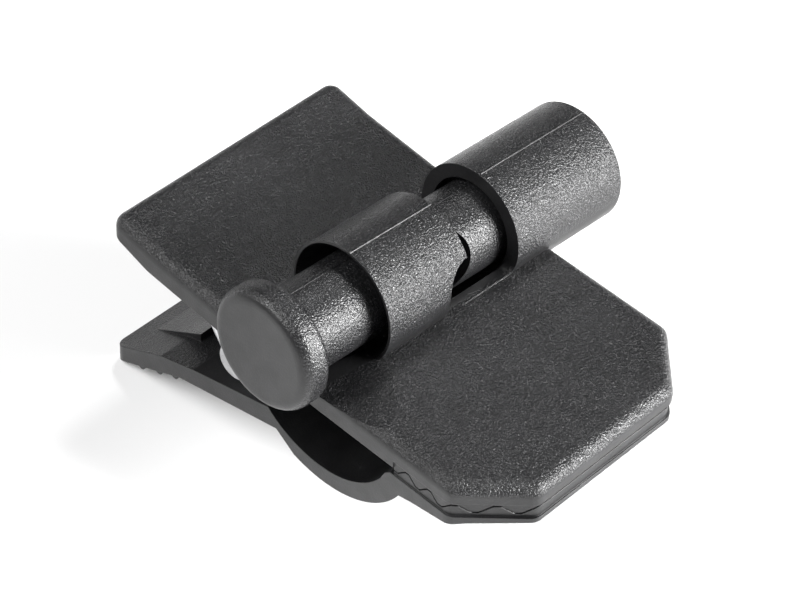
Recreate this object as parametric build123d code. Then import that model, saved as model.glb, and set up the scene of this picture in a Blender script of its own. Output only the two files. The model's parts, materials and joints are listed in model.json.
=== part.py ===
from build123d import *
from math import acos, atan2, cos, pi, sin, sqrt
import os

# Spring clamp with a headed cross peg.
# Units are millimetres. X runs from the finger levers (-X) to the jaw tips (+X), Y runs across
# the clamp with the peg head on the -Y side, +Z is up.
# Origin: middle of the width, on the closed clamping plane, straight below the peg axis.

# ---- plates ----
PLATE_WIDTH = 34.0
JAW_END_X = 30.2
LEVER_END_X = -28.1
JAW_CHAMFER = 6.5
CORNER_R = 1.6
PLATE_TOP_Z = 3.5
PLATE_UNDER_Z = 0.1
EDGE_ROUND = 1.5
BEND_X = -21.6            # where the lever kicks up
LEVER_ROOT_X = -5.5

# ---- teeth ----
TOOTH_PITCH = 3.15
TOOTH_HALF_HEIGHT = 0.5
TOOTH_START_X = 15.7
TOOTH_GAP = 0.2           # air between the two rows when the clamp is closed
TOOTH_INSET = 0.2
TOOTH_BED_Z = 1.0

# ---- cross peg and the barrel that carries it ----
PEG_HEIGHT = 6.84         # peg axis above the clamping plane at mid width
PEG_TILT = -4.0           # the axis drops toward +Y, degrees about X
PEG_R = 5.0
HEAD_R = 7.2
HEAD_FRONT = -21.4
HEAD_BACK = -17.8
PEG_TIP = 25.5
HEAD_FRONT_ROUND, HEAD_BACK_ROUND = 1.5, 0.95
POCKET_ANGLE = 25.0       # the pocket in the shaft faces this way, from +X towards +Z
POCKET_S = 2.4
POCKET_ACROSS, POCKET_ALONG = 3.65, 3.16
POCKET_FLOOR = 1.2        # distance of the pocket's floor from the peg axis
BARREL_R = 7.25
SLEEVE_FRONT = -9.26
SLEEVE_BACK = 3.05
BARREL_FRONT = 10.62
BARREL_END = 27.66
SLEEVE_BORE_R = 5.9
FLARE_R, FLARE_DEPTH = 6.95, 3.8
SILL_Z = 0.15             # cut tube wall left standing above the plate beside the peg
SILL_BLEND_R = 1.4
MOUTH_R = 5.6
MOUTH_DEPTH = 2.0
BEARING_R = 5.06
BORE_END = 25.8
RELIEF_R = 5.6

# ---- hinge ----
HINGE_X, HINGE_Z = -8.8, -3.3
PIN_R = 1.5
PIN_HALF = 15.9
PIN_HEAD_R = 2.3
PIN_HEAD_T = 0.8
EYE_R = 2.7
LUG_T = 2.5
UPPER_LUG_Y = 8.0         # inner face of each upper lug
LOWER_LUG_Y = 5.3         # inner face of each lower lug
RUNNING_FIT = 0.05

# ---- spring ----
WIRE_R = 0.55
COIL_R = 2.45             # centre line of the wire
COIL_OUT_Y, COIL_IN_Y = 15.1, 11.3
UPPER_LEG_END = (-14.5, 0.27)
LOWER_LEG_END = (-17.35, -8.97)
BRIDGE_BEND_R = 1.3

# ---- lower jaw ----
TROUGH_X, TROUGH_Z = 4.66, 2.68
TROUGH_R = 10.9
BULGE_X = 5.25
BULGE_R = 13.0
LOWER_END_X = -28.2
PAD_HALF_Y = 12.6


def along_y(sketch_face, y0, y1):
    """Extrude an XZ outline from y0 to y1."""
    return extrude(Pos(0, y0, 0) * sketch_face, amount=y1 - y0, dir=(0, 1, 0))


def xz_face(points):
    """Closed straight-sided outline in the XZ plane."""
    wire = Polyline([(x, 0, z) for x, z in points], close=True)
    return make_face(wire)


def plan_body(end_x, lever_x, half, chamfer_len, z0, z1):
    """Plan outline of a plate with two cut jaw corners and softened corners."""
    c = chamfer_len
    pts = [
        (lever_x, -half), (end_x - c, -half), (end_x, -half + c),
        (end_x, half - c), (end_x - c, half), (lever_x, half),
    ]
    face = make_face(Polyline(pts, close=True))
    face = fillet(face.vertices(), CORNER_R)
    return extrude(Pos(0, 0, z0) * face, amount=z1 - z0)


def tilted(shape):
    """Place a shape drawn about the local Y axis onto the peg axis."""
    return Location((0, 0, PEG_HEIGHT), (PEG_TILT, 0, 0)) * shape


def rod(radius, y0, y1):
    """Round bar along Y."""
    return Pos(0, (y0 + y1) / 2, 0) * Rot(90, 0, 0) * Cylinder(radius, y1 - y0)


def hinge_rod(radius, y0, y1):
    return Pos(HINGE_X, 0, HINGE_Z) * rod(radius, y0, y1)


# ---------------------------------------------------------------- upper jaw
def upper_plate():
    profile = xz_face([
        (JAW_END_X + 1, TOOTH_BED_Z), (JAW_END_X + 1, PLATE_TOP_Z), (LEVER_ROOT_X, PLATE_TOP_Z),
        (BEND_X, 4.9), (LEVER_END_X - 1, 6.3), (LEVER_END_X - 1, 3.5),
        (BEND_X - 0.6, 1.4), (LEVER_ROOT_X, PLATE_UNDER_Z),
        (TOOTH_START_X, PLATE_UNDER_Z), (TOOTH_START_X, TOOTH_BED_Z),
    ])
    body = along_y(profile, -PLATE_WIDTH, PLATE_WIDTH)
    creases = [e for e in body.edges().filter_by(Axis.Y)
               if abs(e.center().X - LEVER_ROOT_X) < 0.1 or abs(e.center().X - BEND_X) < 0.7]
    body = fillet(creases, 6.0)
    body = body & plan_body(JAW_END_X, LEVER_END_X, PLATE_WIDTH / 2, JAW_CHAMFER, -5, 12)
    return fillet(top_rim(body), EDGE_ROUND)


def top_rim(body):
    """Edges between the top skin and the side walls of the plate."""
    tops = [f for f in body.faces() if f.normal_at(f.center()).Z > 0.8]
    rim = []
    for f in tops:
        for e in f.edges():
            shared = sum(1 for g in tops for k in g.edges() if k.is_same(e))
            if shared == 1:
                rim.append(e)
    return rim


def tooth_line(shift):
    """Zigzag of the tooth row, shifted up or down by half the gap."""
    pts = []
    x = TOOTH_START_X
    low = True
    flat = 0.55
    while x < JAW_END_X + 2:
        z = -TOOTH_HALF_HEIGHT if low else TOOTH_HALF_HEIGHT
        pts.append((x, z + shift))
        pts.append((x + flat, z + shift))
        x += TOOTH_PITCH / 2
        low = not low
    return pts


def tooth_block(upper):
    """Tooth row, set in a little from the outline of the plate."""
    s = 1 if upper else -1
    line = tooth_line(s * TOOTH_GAP / 2)
    back = s * (TOOTH_BED_Z + 0.3)
    outline = line + [(line[-1][0], back), (line[0][0], back)]
    block = along_y(xz_face(outline), -PLATE_WIDTH / 2, PLATE_WIDTH / 2)
    trim = plan_body(JAW_END_X - TOOTH_INSET, TOOTH_START_X - 5,
                     PLATE_WIDTH / 2 - TOOTH_INSET, JAW_CHAMFER, -3, 3)
    return block & trim


def dish():
    """Shallow round scoop in the plate in front of the sleeve mouth."""
    depth_z, big = 2.15, 55.0
    return Pos(2.5, -20.5, depth_z + big) * Sphere(big)


def barrel_body():
    """Full-length barrel; the middle is opened above the plate afterwards."""
    return tilted(rod(BARREL_R, SLEEVE_FRONT, BARREL_END))


def window():
    """Opening between the two tubes, with an arched relief in each side of the sleeve."""
    span = BARREL_FRONT - SLEEVE_BACK
    middle = Pos(0, SLEEVE_BACK + span / 2, 8) * Box(24, span, 24)
    arch = Pos(0, SLEEVE_BACK, 0.6) * Rot(0, 90, 0) * Cylinder(SLEEVE_BACK, 24)
    foot = Pos(0, SLEEVE_BACK / 2 + 0.2, -2.2) * Box(24, SLEEVE_BACK + 0.4, 5.6)
    keep = Pos(0, 0, PLATE_TOP_Z + SILL_Z - 20) * Box(200, 200, 40)
    cutter = tilted(middle + arch + foot) - keep
    sill_end = cutter.edges().filter_by(Axis.X).sort_by(Axis.Z)[:4].sort_by(Axis.Y)[-1]
    return fillet(sill_end, SILL_BLEND_R)


def flare():
    """Thin-walled, widened mouth of the sleeve."""
    cone = Rot(90, 0, 0) * Cone(SLEEVE_BORE_R, FLARE_R, FLARE_DEPTH)
    return Pos(0, SLEEVE_FRONT + FLARE_DEPTH / 2, 0) * cone


def bores():
    cut = tilted(rod(SLEEVE_BORE_R, SLEEVE_FRONT - 0.01, BARREL_FRONT) + flare())
    cut += tilted(rod(MOUTH_R, BARREL_FRONT - 0.01, BARREL_FRONT + MOUTH_DEPTH))
    cut += tilted(rod(BEARING_R, BARREL_FRONT, BORE_END))
    cut += tilted(rod(RELIEF_R, -19.0, SLEEVE_FRONT + 0.01))
    return cut


def lug(y0, foot):
    """Hinge eye with a straight foot; foot is a list of XZ corner points."""
    body = hinge_rod(EYE_R, y0, y0 + LUG_T)
    return body + along_y(xz_face(foot), y0, y0 + LUG_T)


def upper_lugs():
    e = EYE_R
    foot = [(HINGE_X - e, HINGE_Z), (HINGE_X - e - 0.8, 1.2), (HINGE_X + e + 0.8, 1.2),
            (HINGE_X + e, HINGE_Z)]
    return lug(UPPER_LUG_Y, foot) + lug(-UPPER_LUG_Y - LUG_T, foot)


def make_upper_jaw():
    plate = upper_plate() - dish()
    outside = barrel_body() - window()
    body = plate + outside + tooth_block(True) + upper_lugs()
    body -= bores()
    body -= hinge_rod(PIN_R, -20, 20)
    return body


# ---------------------------------------------------------------- lower jaw
def trough_point(x, radius, cx):
    """Height of the underside arc of the round hollow at x."""
    return TROUGH_Z - sqrt(radius ** 2 - (x - cx) ** 2)


def lower_profile():
    """Side outline of the lower jaw without teeth, pad or lugs."""
    end = LOWER_END_X - 1
    a_in = (-2.9, -5.35)
    b_in = (14.0, trough_point(14.0, TROUGH_R, TROUGH_X))
    m_in = (TROUGH_X, TROUGH_Z - TROUGH_R)
    a_out = (1.2, trough_point(1.2, BULGE_R, BULGE_X))
    b_out = (16.7, trough_point(16.7, BULGE_R, BULGE_X))
    m_out = (BULGE_X + 2, trough_point(BULGE_X + 2, BULGE_R, BULGE_X))

    def p(q):
        return (q[0], 0, q[1])
    inner = [
        Line(p((end, -15.35)), p((-20.2, -10.6))),
        Line(p((-20.2, -10.6)), p((-14.8, -8.7))),
        Line(p((-14.8, -8.7)), p(a_in)),
        ThreePointArc(p(a_in), p(m_in), p(b_in)),
        Line(p(b_in), p((14.6, -1.6))),
        Line(p((14.6, -1.6)), p((15.3, -1.0))),
        Line(p((15.3, -1.0)), p((JAW_END_X + 1, -1.0))),
    ]
    tip = Line(p((JAW_END_X + 1, -1.0)), p((JAW_END_X + 1, -1.55)))
    outer = [
        Line(p((JAW_END_X + 1, -1.55)), p((25.0, -1.95))),
        Line(p((25.0, -1.95)), p((18.4, -3.05))),
        Line(p((18.4, -3.05)), p(b_out)),
        ThreePointArc(p(b_out), p(m_out), p(a_out)),
        Line(p(a_out), p((-1.6, -7.75))),
        Line(p((-1.6, -7.75)), p((-17.0, -11.7))),
        Line(p((-17.0, -11.7)), p((end, -17.6))),
        Line(p((end, -17.6)), p((end, -15.35))),
    ]
    return make_face(Wire(inner + [tip] + outer))


def pad():
    """Raised pad on the inside of the lower lever."""
    pts = [(-27.4, -14.6), (-18.3, -8.75), (-18.3, -11.0), (-27.4, -15.6)]
    return along_y(xz_face(pts), -PAD_HALF_Y, PAD_HALF_Y)


def grip_ribs():
    """Three low finger ribs under the end of the lower lever."""
    ribs = None
    for x, z in ((-23.8, -14.95), (-20.85, -13.5), (-18.2, -12.2)):
        rib = Pos(x, 0, z) * rod(0.6, -PLATE_WIDTH / 2 + 0.2, PLATE_WIDTH / 2 - 0.2)
        ribs = rib if ribs is None else ribs + rib
    return ribs


def lower_lugs():
    e = EYE_R
    foot = [(HINGE_X - e, HINGE_Z), (HINGE_X - e - 1.0, -8.6), (HINGE_X + e + 0.6, -7.4),
            (HINGE_X + e, HINGE_Z)]
    return lug(LOWER_LUG_Y, foot) + lug(-LOWER_LUG_Y - LUG_T, foot)


def make_lower_jaw():
    body = along_y(lower_profile(), -PLATE_WIDTH / 2, PLATE_WIDTH / 2)
    body += grip_ribs()
    body = body & plan_body(JAW_END_X, LOWER_END_X, PLATE_WIDTH / 2, JAW_CHAMFER, -25, 5)
    body = body + tooth_block(False) + pad() + lower_lugs()
    body -= hinge_rod(PIN_R + RUNNING_FIT, -20, 20)
    return body


# ---------------------------------------------------------------- peg, pin, spring
def make_peg():
    shaft = rod(PEG_R, HEAD_BACK - 0.5, PEG_TIP)
    shaft = chamfer(shaft.edges().sort_by(Axis.Y)[-1], 0.8)
    head = rod(HEAD_R, HEAD_FRONT, HEAD_BACK)
    head = fillet(head.edges().filter_by(GeomType.CIRCLE).sort_by(Axis.Y)[0], HEAD_FRONT_ROUND)
    head = fillet(head.edges().filter_by(GeomType.CIRCLE).sort_by(Axis.Y)[-1], HEAD_BACK_ROUND)
    return tilted(shaft + head - pocket())


def pocket():
    """Oval pocket sunk into the side of the shaft, half under the sleeve."""
    mouth = Plane(origin=(POCKET_FLOOR, POCKET_S, 0), x_dir=(0, 0, 1), z_dir=(1, 0, 0))
    oval = extrude(mouth * Ellipse(POCKET_ACROSS, POCKET_ALONG), amount=PEG_R)
    return Rot(0, -POCKET_ANGLE, 0) * oval


def make_pin():
    body = hinge_rod(PIN_R, -PIN_HALF, PIN_HALF)
    for s in (-1, 1):
        cap = hinge_rod(PIN_HEAD_R, s * PIN_HALF, s * (PIN_HALF + PIN_HEAD_T)) if s > 0 else \
            hinge_rod(PIN_HEAD_R, -PIN_HALF - PIN_HEAD_T, -PIN_HALF)
        outer = cap.edges().sort_by(Axis.Y)[-1 if s > 0 else 0]
        body += fillet(outer, 0.4)
    return body


def tangent_start(end, side):
    """Angle on the coil where a straight leg to the given point leaves it."""
    dx, dz = end[0] - HINGE_X, end[1] - HINGE_Z
    dist = sqrt(dx * dx + dz * dz)
    return atan2(dz, dx) + side * acos(COIL_R / dist)


def coil_xyz(angle, y):
    return (HINGE_X + COIL_R * cos(angle), y, HINGE_Z + COIL_R * sin(angle))


def coil_path(side, a_out, a_in):
    """Centre line of one coil, from the inner leg to the outer leg."""
    turn = 2 * 2 * pi + (a_in - a_out) % (2 * pi)
    steps = int(turn / (pi / 12)) + 1
    pts = []
    for k in range(steps + 1):
        t = k / steps
        rise = t - 0.35 * sin(2 * pi * t) / (2 * pi)
        pts.append(coil_xyz(a_in - turn * t, side * (COIL_IN_Y + (COIL_OUT_Y - COIL_IN_Y) * rise)))
    return Spline(pts)


def make_spring():
    """Double torsion spring bent from one wire: two coils on the pin, an end leg from each
    coil under the upper lever, and one bridge that presses on the lower lever."""
    a_out = tangent_start(UPPER_LEG_END, 1)
    a_in = tangent_start(LOWER_LEG_END, -1)
    ux, uz = UPPER_LEG_END
    lx, lz = LOWER_LEG_END
    r = BRIDGE_BEND_R
    root = coil_xyz(a_in, 0)
    run = sqrt((lx - root[0]) ** 2 + (lz - root[2]) ** 2)
    dx, dz = (lx - root[0]) / run, (lz - root[2]) / run
    cut = (lx - r * dx, lz - r * dz)
    k = r * (1 - sqrt(0.5))
    pieces = []
    for side in (-1, 1):
        pieces.append(Line((ux, side * COIL_OUT_Y, uz), coil_xyz(a_out, side * COIL_OUT_Y)))
        pieces.append(coil_path(side, a_out, a_in))
        pieces.append(Line(coil_xyz(a_in, side * COIL_IN_Y), (cut[0], side * COIL_IN_Y, cut[1])))
        pieces.append(ThreePointArc(
            (cut[0], side * COIL_IN_Y, cut[1]),
            (lx - k * dx, side * (COIL_IN_Y - k), lz - k * dz),
            (lx, side * (COIL_IN_Y - r), lz)))
    pieces.append(Line((lx, -COIL_IN_Y + r, lz), (lx, COIL_IN_Y - r, lz)))
    path = Wire(pieces)
    section = Plane(origin=path @ 0, z_dir=path % 0) * Circle(WIRE_R)
    return sweep(section, path=path)


def save(shape, name):
    shape.label = name
    export_step(shape, "parts/" + name + ".step")


os.makedirs("parts", exist_ok=True)
save(make_upper_jaw(), "upper_jaw")
save(make_lower_jaw(), "lower_jaw")
save(make_peg(), "cross_peg")
save(make_pin(), "hinge_pin")
save(make_spring(), "torsion_spring")
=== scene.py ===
import json
import math

import bmesh
import bpy
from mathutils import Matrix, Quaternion, Vector


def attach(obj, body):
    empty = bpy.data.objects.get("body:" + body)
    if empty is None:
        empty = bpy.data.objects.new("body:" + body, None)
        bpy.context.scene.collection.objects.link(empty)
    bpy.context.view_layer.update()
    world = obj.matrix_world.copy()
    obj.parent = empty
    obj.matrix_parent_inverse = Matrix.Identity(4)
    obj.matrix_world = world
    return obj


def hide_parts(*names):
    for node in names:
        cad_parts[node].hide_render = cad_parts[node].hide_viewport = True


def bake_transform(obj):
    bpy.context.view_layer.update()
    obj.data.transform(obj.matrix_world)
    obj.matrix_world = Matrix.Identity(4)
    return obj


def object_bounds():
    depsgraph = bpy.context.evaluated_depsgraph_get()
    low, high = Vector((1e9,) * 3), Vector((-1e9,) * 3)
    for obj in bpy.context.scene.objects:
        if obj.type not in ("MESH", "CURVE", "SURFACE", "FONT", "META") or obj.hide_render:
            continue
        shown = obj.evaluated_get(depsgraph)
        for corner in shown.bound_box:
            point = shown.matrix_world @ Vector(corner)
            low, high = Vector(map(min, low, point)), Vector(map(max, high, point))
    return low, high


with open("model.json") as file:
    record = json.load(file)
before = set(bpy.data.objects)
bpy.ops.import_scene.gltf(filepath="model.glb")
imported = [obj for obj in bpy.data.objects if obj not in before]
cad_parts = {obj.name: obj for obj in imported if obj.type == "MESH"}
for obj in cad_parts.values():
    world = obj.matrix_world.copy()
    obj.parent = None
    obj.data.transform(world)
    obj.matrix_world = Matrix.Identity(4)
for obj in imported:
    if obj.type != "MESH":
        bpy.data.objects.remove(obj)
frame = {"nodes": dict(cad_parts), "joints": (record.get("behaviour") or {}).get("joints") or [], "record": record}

# Spring clamp with a headed cross peg. Metres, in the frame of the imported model:
# +X to the jaw tips, +Y to the closed end of the barrel, +Z up.

CAD_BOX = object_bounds()
NODES = frame["nodes"]
JOINTS = {j["name"]: j for j in frame["joints"]}
MOUNTS = {m["name"]: m for m in frame["record"]["mounts"]}
MM = 0.001

# ---------------------------------------------------------------- the peg axis, from the frame
HEAD_FRONT = -21.4 * MM           # along the axis, from the point over the origin
AXIS_S = -Vector(JOINTS["peg_slide"]["axis"]).normalized()
AXIS_POINT = Vector(MOUNTS["head_face"]["pos_m"]) - AXIS_S * HEAD_FRONT
ACROSS = Vector((1, 0, 0))
ABOVE = ACROSS.cross(AXIS_S)

SLEEVE = (-9.26 * MM, 3.05 * MM)  # extent of the front tube along the axis
BARREL = (10.62 * MM, 27.66 * MM)
TUBE_R = 7.25 * MM
PEG_R = 5.0 * MM

HINGE = Vector(JOINTS["jaw_hinge"]["pos_m"])


def on_axis(s, angle_deg, radius):
    """Point at distance s along the peg axis and radius from it; 0 degrees is +X, 90 is up."""
    a = math.radians(angle_deg)
    return AXIS_POINT + AXIS_S * s + (ACROSS * math.cos(a) + ABOVE * math.sin(a)) * radius


# ---------------------------------------------------------------- node helpers
class Graph:
    """A short way to write a material's nodes."""

    def __init__(self, name):
        self.material = bpy.data.materials.new(name)
        self.material.use_nodes = True
        self.tree = self.material.node_tree
        self.tree.nodes.clear()
        self.shader = self.add("ShaderNodeBsdfPrincipled")
        out = self.add("ShaderNodeOutputMaterial")
        self.link(self.shader.outputs["BSDF"], out.inputs["Surface"])
        self.place = self.add("ShaderNodeTexCoord")

    def add(self, kind, **settings):
        node = self.tree.nodes.new(kind)
        for key, value in settings.items():
            setattr(node, key, value)
        return node

    def link(self, a, b):
        self.tree.links.new(a, b)

    def value(self, socket, given):
        """Sets a socket from a number, a tuple or another node's output."""
        if isinstance(given, bpy.types.NodeSocket):
            self.link(given, socket)
        else:
            socket.default_value = given

    def math(self, operation, a, b=0.0):
        node = self.add("ShaderNodeMath", operation=operation)
        self.value(node.inputs[0], a)
        self.value(node.inputs[1], b)
        return node.outputs[0]

    def step(self, x, low, high):
        """Smooth ramp of x from 0 at low to 1 at high."""
        node = self.add("ShaderNodeMapRange", interpolation_type="SMOOTHSTEP")
        self.value(node.inputs["Value"], x)
        node.inputs["From Min"].default_value = low
        node.inputs["From Max"].default_value = high
        return node.outputs["Result"]

    def noise(self, size, detail=2.0, distortion=0.0, stretch=(1, 1, 1)):
        """Noise whose features are about size metres across."""
        node = self.add("ShaderNodeTexNoise")
        node.inputs["Scale"].default_value = 1.0
        node.inputs["Detail"].default_value = detail
        node.inputs["Distortion"].default_value = distortion
        self.link(self.scaled(size, stretch), node.inputs["Vector"])
        return node.outputs["Fac"]

    def cells(self, size):
        """Rounded pebbles about size metres across, 0 at their middles."""
        node = self.add("ShaderNodeTexVoronoi", feature="SMOOTH_F1")
        node.inputs["Scale"].default_value = 1.0
        node.inputs["Smoothness"].default_value = PEBBLE_SOFTNESS
        self.link(self.scaled(size), node.inputs["Vector"])
        return node.outputs["Distance"]

    def scaled(self, size, stretch=(1, 1, 1)):
        node = self.add("ShaderNodeMapping")
        node.inputs["Scale"].default_value = [k / size for k in stretch]
        self.link(self.place.outputs["Object"], node.inputs["Vector"])
        return node.outputs["Vector"]

    def mix(self, amount, a, b):
        node = self.add("ShaderNodeMix", data_type="RGBA")
        self.value(node.inputs["Factor"], amount)
        self.value(node.inputs["A"], a)
        self.value(node.inputs["B"], b)
        return node.outputs["Result"]

    def blend(self, amount, a, b):
        node = self.add("ShaderNodeMix", data_type="FLOAT")
        self.value(node.inputs["Factor"], amount)
        self.value(node.inputs["A"], a)
        self.value(node.inputs["B"], b)
        return node.outputs["Result"]

    def split(self, vector):
        node = self.add("ShaderNodeSeparateXYZ")
        self.link(vector, node.inputs[0])
        return node.outputs

    def bump(self, height, depth, normal=None, strength=1.0):
        node = self.add("ShaderNodeBump")
        node.inputs["Distance"].default_value = depth
        self.value(node.inputs["Strength"], strength)
        self.link(height, node.inputs["Height"])
        if normal is not None:
            self.link(normal, node.inputs["Normal"])
        return node.outputs["Normal"]


# ---------------------------------------------------------------- materials
PEBBLE = 0.27 * MM                # spacing of the mould grain
PEBBLE_SOFTNESS = 0.6
WORM = 0.17 * MM                  # finer wavy grain that runs through it
GRAIN_DEPTH = 0.18 * MM
PEG_GRAIN_DEPTH = 0.12 * MM
CLOUD = 9 * MM                    # slow drift between fresh and worn black
FLOW_MARK, FLOW_DEPTH = 2.2 * MM, 0.012 * MM
EDGE_SOFTNESS = 0.14 * MM
SATIN_GRAIN = 0.12                # how much of the grain is left on the satin faces
PLATE_TOP_Z = 3.5 * MM
BLACK = (0.006, 0.006, 0.0065, 1)
WORN = (0.012, 0.012, 0.0128, 1)
CREST_HIGHLIGHT = (0.055, 0.055, 0.057, 1)  # painted highlight: a lighter colour laid on the tops of the grain


def grained_plastic(name, grained, depth=GRAIN_DEPTH):
    """Black moulded plastic: pebbled grain where grained(graph) is 1, satin elsewhere."""
    g = Graph(name)
    where = g.math("MAXIMUM", grained(g), SATIN_GRAIN)
    pebble = g.cells(PEBBLE)
    worms = g.noise(WORM, detail=1.0, distortion=0.4)
    height = g.math("ADD", g.math("MULTIPLY", pebble, -0.40), g.math("MULTIPLY", worms, 0.75))
    drift = g.noise(CLOUD, detail=3.0)
    flow = g.noise(FLOW_MARK, detail=3.0, stretch=(1, 0.35, 1))
    crest = g.step(worms, 0.54, 0.70)
    body = g.mix(g.step(drift, 0.35, 0.75), BLACK, WORN)
    # painted highlight: the grain's crests are coloured lighter than the pits, so the bump tops look lit under any
    # lamp
    g.link(g.mix(g.math("MULTIPLY", crest, where), body, CREST_HIGHLIGHT), g.shader.inputs["Base Color"])
    satin = g.blend(g.step(flow, 0.3, 0.7), 0.32, 0.44)
    rough = g.blend(where, satin, g.blend(crest, 0.30, 0.13))
    g.link(rough, g.shader.inputs["Roughness"])
    ripple = g.bump(flow, FLOW_DEPTH, softened_edges(g))
    g.link(g.bump(height, depth, ripple, where), g.shader.inputs["Normal"])
    g.shader.inputs["Specular IOR Level"].default_value = 0.5
    return g.material


def softened_edges(g):
    """Normal that rounds sharp edges a little, but leaves the inner corner at the tubes' foot."""
    soft = g.add("ShaderNodeBevel", samples=6)
    soft.inputs["Radius"].default_value = EDGE_SOFTNESS
    plain = g.add("ShaderNodeNewGeometry")
    p = g.split(g.place.outputs["Object"])
    foot = g.math("MULTIPLY", g.step(p["Z"], PLATE_TOP_Z + 0.6 * MM, PLATE_TOP_Z + 0.3 * MM),
                  g.step(p["Z"], PLATE_TOP_Z - 0.3 * MM, PLATE_TOP_Z - 0.1 * MM))
    beside_tube = g.math("MAXIMUM", g.step(p["Y"], SLEEVE[1] + 0.4 * MM, SLEEVE[1]),
                         g.step(p["Y"], BARREL[0] - 0.4 * MM, BARREL[0]))
    foot = g.math("MULTIPLY", foot, beside_tube)
    node = g.add("ShaderNodeMix", data_type="VECTOR")
    g.value(node.inputs["Factor"], foot)
    g.link(soft.outputs["Normal"], node.inputs["A"])
    g.link(plain.outputs["Normal"], node.inputs["B"])
    return node.outputs["Result"]


def grain_of_upper(g):
    """Tops, tubes and rounded rims are grained; walls, end faces and bores are smooth."""
    n = g.split(g.place.outputs["Normal"])
    p = g.split(g.place.outputs["Object"])
    up = g.step(n["Z"], -0.34, 0.12)
    wall = g.math("MULTIPLY", g.step(n["Z"], 0.30, 0.05), g.step(p["Z"], 4.6 * MM, 3.0 * MM))
    end_face = g.step(g.math("ABSOLUTE", n["Y"]), 0.86, 0.97)
    bore = inside_tube(g, p)
    keep = g.math("MULTIPLY", g.math("SUBTRACT", 1.0, wall), g.math("SUBTRACT", 1.0, end_face))
    keep = g.math("MULTIPLY", keep, g.math("SUBTRACT", 1.0, bore))
    return g.math("MULTIPLY", up, keep)


def inside_tube(g, p):
    """1 on the inner walls of the two tubes."""
    x = g.math("POWER", p["X"], 2.0)
    lift = g.math("SUBTRACT", p["Z"], AXIS_POINT.z)
    lift = g.math("ADD", lift, g.math("MULTIPLY", p["Y"], -AXIS_S.z / AXIS_S.y))
    r = g.math("SQRT", g.math("ADD", x, g.math("POWER", lift, 2.0)))
    return g.step(r, TUBE_R - 0.3 * MM, TUBE_R - 0.6 * MM)


def grain_of_lower(g):
    n = g.split(g.place.outputs["Normal"])
    p = g.split(g.place.outputs["Object"])
    outside = g.step(n["Z"], -0.15, -0.4)
    side = g.step(g.math("ABSOLUTE", n["Y"]), 0.7, 0.9)
    lever = g.math("MULTIPLY", g.step(n["Z"], 0.2, 0.5), g.step(p["X"], -14 * MM, -16 * MM))
    both = g.math("MAXIMUM", outside, g.math("MULTIPLY", lever, 0.5))
    return g.math("MULTIPLY", both, g.math("SUBTRACT", 1.0, side))


def grain_of_peg(g):
    """Shaft and head rim carry a lighter grain; the head's face and back are smooth."""
    n = g.split(g.place.outputs["Normal"])
    return g.step(g.math("ABSOLUTE", n["Y"]), 0.9, 0.6)


def drawn_steel(name, along):
    """Bright drawn steel with fine lines; along is the stretch of the lines."""
    g = Graph(name)
    lines = g.noise(0.35 * MM, detail=3.0, stretch=along)
    stain = g.noise(1.6 * MM, detail=3.0)
    g.link(g.mix(stain, (0.38, 0.38, 0.39, 1), (0.66, 0.66, 0.67, 1)),
           g.shader.inputs["Base Color"])
    g.link(g.blend(lines, 0.20, 0.40), g.shader.inputs["Roughness"])
    g.shader.inputs["Metallic"].default_value = 1.0
    g.link(g.bump(lines, 0.006 * MM), g.shader.inputs["Normal"])
    return g.material


def floor_material():
    g = Graph("pale_floor")
    mottle = g.noise(60 * MM, detail=2.0)
    g.link(g.mix(mottle, (0.90, 0.90, 0.90, 1), (0.93, 0.93, 0.93, 1)),
           g.shader.inputs["Base Color"])
    g.shader.inputs["Roughness"].default_value = 0.75
    g.shader.inputs["Specular IOR Level"].default_value = 0.2
    return g.material


def seam_plastic():
    """The same black plastic, rubbed smooth along the raised mould lines."""
    g = Graph("seam_plastic")
    scuff = g.noise(0.8 * MM, detail=2.0)
    g.link(g.mix(scuff, BLACK, WORN), g.shader.inputs["Base Color"])
    g.link(g.blend(scuff, 0.20, 0.34), g.shader.inputs["Roughness"])
    return g.material


UPPER_PLASTIC = grained_plastic("upper_jaw_plastic", grain_of_upper)
LOWER_PLASTIC = grained_plastic("lower_jaw_plastic", grain_of_lower)
PEG_PLASTIC = grained_plastic("peg_plastic", grain_of_peg, depth=PEG_GRAIN_DEPTH)
SEAM_PLASTIC = seam_plastic()
PIN_STEEL = drawn_steel("pin_steel", (1, 0.1, 1))
SPRING_STEEL = drawn_steel("spring_steel", (1, 1, 1))


def paint(node, material):
    """Gives a CAD node its finished material."""
    slots = NODES[node].material_slots
    for slot in slots:
        slot.material = material
    if not slots:
        NODES[node].data.materials.append(material)


paint("upper_jaw", UPPER_PLASTIC)
paint("lower_jaw", LOWER_PLASTIC)
paint("cross_peg", PEG_PLASTIC)
paint("hinge_pin", PIN_STEEL)


# ---------------------------------------------------------------- mesh helpers
def make_mesh(name, verts, faces, material, smooth=True):
    mesh = bpy.data.meshes.new(name)
    mesh.from_pydata([tuple(v) for v in verts], [], faces)
    bm = bmesh.new()
    bm.from_mesh(mesh)
    bmesh.ops.recalc_face_normals(bm, faces=bm.faces)
    bm.to_mesh(mesh)
    bm.free()
    for polygon in mesh.polygons:
        polygon.use_smooth = smooth
    mesh.materials.append(material)
    obj = bpy.data.objects.new(name, mesh)
    bpy.context.scene.collection.objects.link(obj)
    return obj


def loft(rings):
    """Quads between equal rings of points, with both ends capped."""
    n = len(rings[0])
    verts = [p for ring in rings for p in ring]
    faces = []
    for i in range(len(rings) - 1):
        for k in range(n):
            a, b = i * n + k, i * n + (k + 1) % n
            faces.append((a, b, b + n, a + n))
    faces.append(tuple(range(n)))
    faces.append(tuple(range(len(verts) - n, len(verts))))
    return verts, faces


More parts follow.
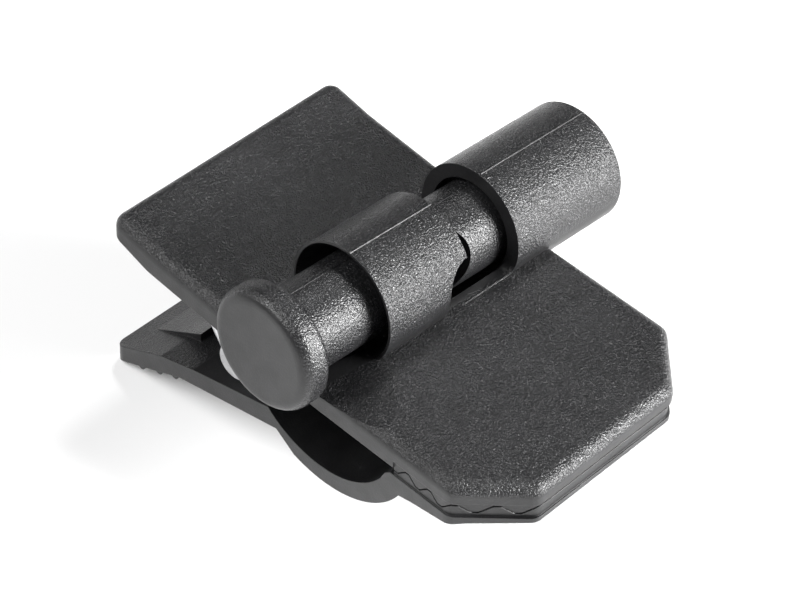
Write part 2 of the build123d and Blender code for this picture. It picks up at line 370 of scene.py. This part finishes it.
def ridge_ring(s, angle_deg, radius, width, height, sink):
    """Roof-shaped section of a parting line at one place along the tube."""
    half = math.degrees(width / 2 / radius)
    crest = 0.25
    return [on_axis(s, angle_deg + half * across, radius + lift) for across, lift in (
        (-1, 0), (-crest, height), (crest, height), (1, 0), (1, -sink), (-1, -sink))]


def parting_line(name, body, material, span, angle_deg, radius, width, height):
    """Thin raised mould line along a tube, a little uneven in height."""
    steps = 40
    rings = []
    for i in range(steps + 1):
        s = span[0] + (span[1] - span[0]) * i / steps
        uneven = 0.97 + 0.03 * math.sin(i * 1.7) * math.cos(i * 0.63)
        rings.append(ridge_ring(s, angle_deg, radius, width, height * uneven, 0.08 * MM))
    obj = make_mesh(name, *loft(rings), material, smooth=False)
    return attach(obj, body)


# ---------------------------------------------------------------- parting lines
SEAM = (0.20 * MM, 0.065 * MM)    # width and height of the line
PEG_SEAM = (0.15 * MM, 0.065 * MM)
SEAM_INSET = 0.02 * MM
for name, body, span, angle, radius, seam in (
        ("sleeve_parting_line", "upper", (SLEEVE[0] + SEAM_INSET, SLEEVE[1] - SEAM_INSET),
         87, TUBE_R, SEAM),
        ("barrel_parting_line", "upper", (BARREL[0] + SEAM_INSET, BARREL[1] - SEAM_INSET),
         87, TUBE_R, SEAM),
        ("peg_front_parting_line", "peg", (-17.6 * MM, SLEEVE[0] + 1.0 * MM),
         99, PEG_R, PEG_SEAM),
        ("peg_window_parting_line", "peg", (SLEEVE[1] - 1.0 * MM, BARREL[0] - 0.2 * MM),
         101, PEG_R, PEG_SEAM)):
    parting_line(name, body, SEAM_PLASTIC, span, angle, radius, *seam)


# ---------------------------------------------------------------- small moulding marks
def nub(name, body, material, centre, radii):
    """Small rounded bump left by the mould, half sunk in the surface."""
    bm = bmesh.new()
    bmesh.ops.create_icosphere(bm, subdivisions=2, radius=1.0)
    verts = [centre + Vector((v.co.x * radii[0], v.co.y * radii[1], v.co.z * radii[2]))
             for v in bm.verts]
    faces = [tuple(v.index for v in f.verts) for f in bm.faces]
    bm.free()
    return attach(make_mesh(name, verts, faces, material), body)


RIM_NUB = (0.22 * MM, 0.16 * MM, 0.12 * MM)
nub("sleeve_rim_nub", "upper", SEAM_PLASTIC,
    on_axis(SLEEVE[0] + 0.16 * MM, 88, TUBE_R - 0.02 * MM), RIM_NUB)
nub("sleeve_side_nub", "upper", SEAM_PLASTIC,
    on_axis(SLEEVE[0] + 0.16 * MM, 142, TUBE_R - 0.02 * MM), RIM_NUB)
nub("barrel_rim_nub", "upper", SEAM_PLASTIC,
    on_axis(BARREL[0] + 0.16 * MM, 88, TUBE_R - 0.02 * MM), (0.34 * MM, 0.16 * MM, 0.16 * MM))
nub("barrel_flash_nub", "upper", SEAM_PLASTIC,
    on_axis(BARREL[0] + 0.5 * MM, 80, TUBE_R), (0.14 * MM, 0.45 * MM, 0.10 * MM))


def sill_tick():
    """Short raised scratch on top of the sill beside the peg."""
    a, b = Vector((5.8 * MM, 4.3 * MM, 0)), Vector((6.15 * MM, 5.3 * MM, 0))
    side = (b - a).cross(Vector((0, 0, 1))).normalized() * 0.07 * MM
    low, high = PLATE_TOP_Z + 0.10 * MM, PLATE_TOP_Z + 0.22 * MM
    rings = [[end - side + Vector((0, 0, low)), end + side + Vector((0, 0, low)),
              end + Vector((0, 0, high))] for end in (a, b)]
    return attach(make_mesh("sill_tick", *loft(rings), SEAM_PLASTIC, smooth=False), "upper")


sill_tick()


# ---------------------------------------------------------------- torsion spring
WIRE_R = 0.55 * MM
COIL_R = 2.45 * MM
COIL_OUT_Y, COIL_IN_Y = 15.1 * MM, 11.3 * MM
UPPER_LEG_END = (-14.5 * MM, 0.27 * MM)
LOWER_LEG_END = (-17.35 * MM, -8.97 * MM)
BRIDGE_BEND_R = 1.3 * MM
WIRE_SIDES = 14


def leg_angle(end, side):
    """Angle on the coil where a straight leg to the given point leaves it."""
    dx, dz = end[0] - HINGE.x, end[1] - HINGE.z
    return math.atan2(dz, dx) + side * math.acos(COIL_R / math.hypot(dx, dz))


def spring_half(side):
    """Centre line of half the spring, from the upper leg's end to the middle of the bridge."""
    a_out, a_in = leg_angle(UPPER_LEG_END, 1), leg_angle(LOWER_LEG_END, -1)
    turn = 4 * math.pi + (a_in - a_out) % (2 * math.pi)

    def coil(angle, y):
        return Vector((HINGE.x + COIL_R * math.cos(angle), side * y,
                       HINGE.z + COIL_R * math.sin(angle)))

    steps = 110
    line = []
    start = Vector((UPPER_LEG_END[0], side * COIL_OUT_Y, UPPER_LEG_END[1]))
    first = coil(a_out, COIL_OUT_Y)
    line += [start.lerp(first, k / 6) for k in range(6)]
    for k in range(steps + 1):
        t = k / steps
        rise = t - 0.35 * math.sin(2 * math.pi * t) / (2 * math.pi)
        line.append(coil(a_out + turn * t, COIL_OUT_Y + (COIL_IN_Y - COIL_OUT_Y) * rise))
    last = line[-1]
    corner = Vector((LOWER_LEG_END[0], side * COIL_IN_Y, LOWER_LEG_END[1]))
    run = (corner - last).normalized()
    cut = corner - run * BRIDGE_BEND_R
    line += [last.lerp(cut, k / 6) for k in range(1, 6)]
    inward = Vector((0, -side, 0))
    centre = cut + inward * BRIDGE_BEND_R
    for k in range(9):
        a = math.pi / 2 * k / 8
        line.append(centre - inward * BRIDGE_BEND_R * math.cos(a) + run * BRIDGE_BEND_R * math.sin(a))
    flat = line[-1]
    middle = Vector((flat.x, 0, flat.z))
    line += [flat.lerp(middle, k / 6) for k in range(1, 7)]
    return line


def tube_along(points, radius, sides):
    """Round tube along a line of points, with a section that doesn't twist."""
    tangent = (points[1] - points[0]).normalized()
    normal = tangent.orthogonal().normalized()
    rings = []
    for i, p in enumerate(points):
        ahead = points[min(i + 1, len(points) - 1)] - points[max(i - 1, 0)]
        turn = tangent.rotation_difference(ahead.normalized())
        normal = (turn @ normal).normalized()
        tangent = ahead.normalized()
        side = tangent.cross(normal)
        rings.append([p + (normal * math.cos(2 * math.pi * k / sides)
                           + side * math.sin(2 * math.pi * k / sides)) * radius
                      for k in range(sides)])
    return loft(rings)


for side, label in ((-1, "near"), (1, "far")):
    half = make_mesh("torsion_spring_" + label, *tube_along(spring_half(side), WIRE_R, WIRE_SIDES),
                     SPRING_STEEL)
    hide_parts("torsion_spring")
    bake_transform(half)


# ---------------------------------------------------------------- floor, light and camera
FLOOR_SIZE = 4.0
FLOOR_GAP = 0.00002


def make_floor():
    low = CAD_BOX[0].z
    bpy.ops.mesh.primitive_plane_add(size=FLOOR_SIZE, location=(0, 0, low - FLOOR_GAP))
    floor = bpy.context.object
    floor.name = "floor"
    floor.data.materials.append(floor_material())


def area_light(name, toward, distance, size, power):
    """Soft box in the given direction from the object, facing it."""
    data = bpy.data.lights.new(name, "AREA")
    data.shape = "RECTANGLE"
    data.size, data.size_y = size
    data.energy = power
    obj = bpy.data.objects.new(name, data)
    bpy.context.scene.collection.objects.link(obj)
    away = Vector(toward).normalized()
    obj.location = away * distance
    obj.rotation_mode = "QUATERNION"
    obj.rotation_quaternion = away.to_track_quat("Z", "Y")
    return obj


def make_world(strength):
    world = bpy.data.worlds.new("studio")
    world.use_nodes = True
    background = world.node_tree.nodes["Background"]
    background.inputs["Color"].default_value = (1, 1, 1, 1)
    background.inputs["Strength"].default_value = strength
    bpy.context.scene.world = world


AIM = Vector((-0.0010, 0.0011, 0.0))
CAMERA_AZIMUTH, CAMERA_ELEVATION, CAMERA_ROLL = 41.92, 45.16, 3.54
CAMERA_DISTANCE = 0.3211


def make_camera():
    a, e = math.radians(CAMERA_AZIMUTH), math.radians(CAMERA_ELEVATION)
    back = Vector((math.sin(a) * math.cos(e), -math.cos(a) * math.cos(e), math.sin(e)))
    data = bpy.data.cameras.new("camera")
    data.lens, data.sensor_width = 131.8, 36.0
    data.clip_start, data.clip_end = 0.01, 10.0
    camera = bpy.data.objects.new("camera", data)
    bpy.context.scene.collection.objects.link(camera)
    camera.location = AIM + back * CAMERA_DISTANCE
    camera.rotation_mode = "QUATERNION"
    level = (-back).to_track_quat("-Z", "Y")
    camera.rotation_quaternion = level @ Quaternion((0, 0, 1), math.radians(CAMERA_ROLL))
    bpy.context.scene.camera = camera


make_floor()
make_world(0.045)
area_light("key", (0.85, 0.50, 0.30), 0.50, (0.24, 0.24), 8.5)
area_light("overhead", (-0.22, 0.525, 0.824), 0.60, (0.10, 0.10), 1.0)
area_light("front_fill", (-0.35, -0.75, 0.90), 0.70, (0.60, 0.50), 6.0)
make_camera()
bpy.context.scene.view_settings.view_transform = "Standard"
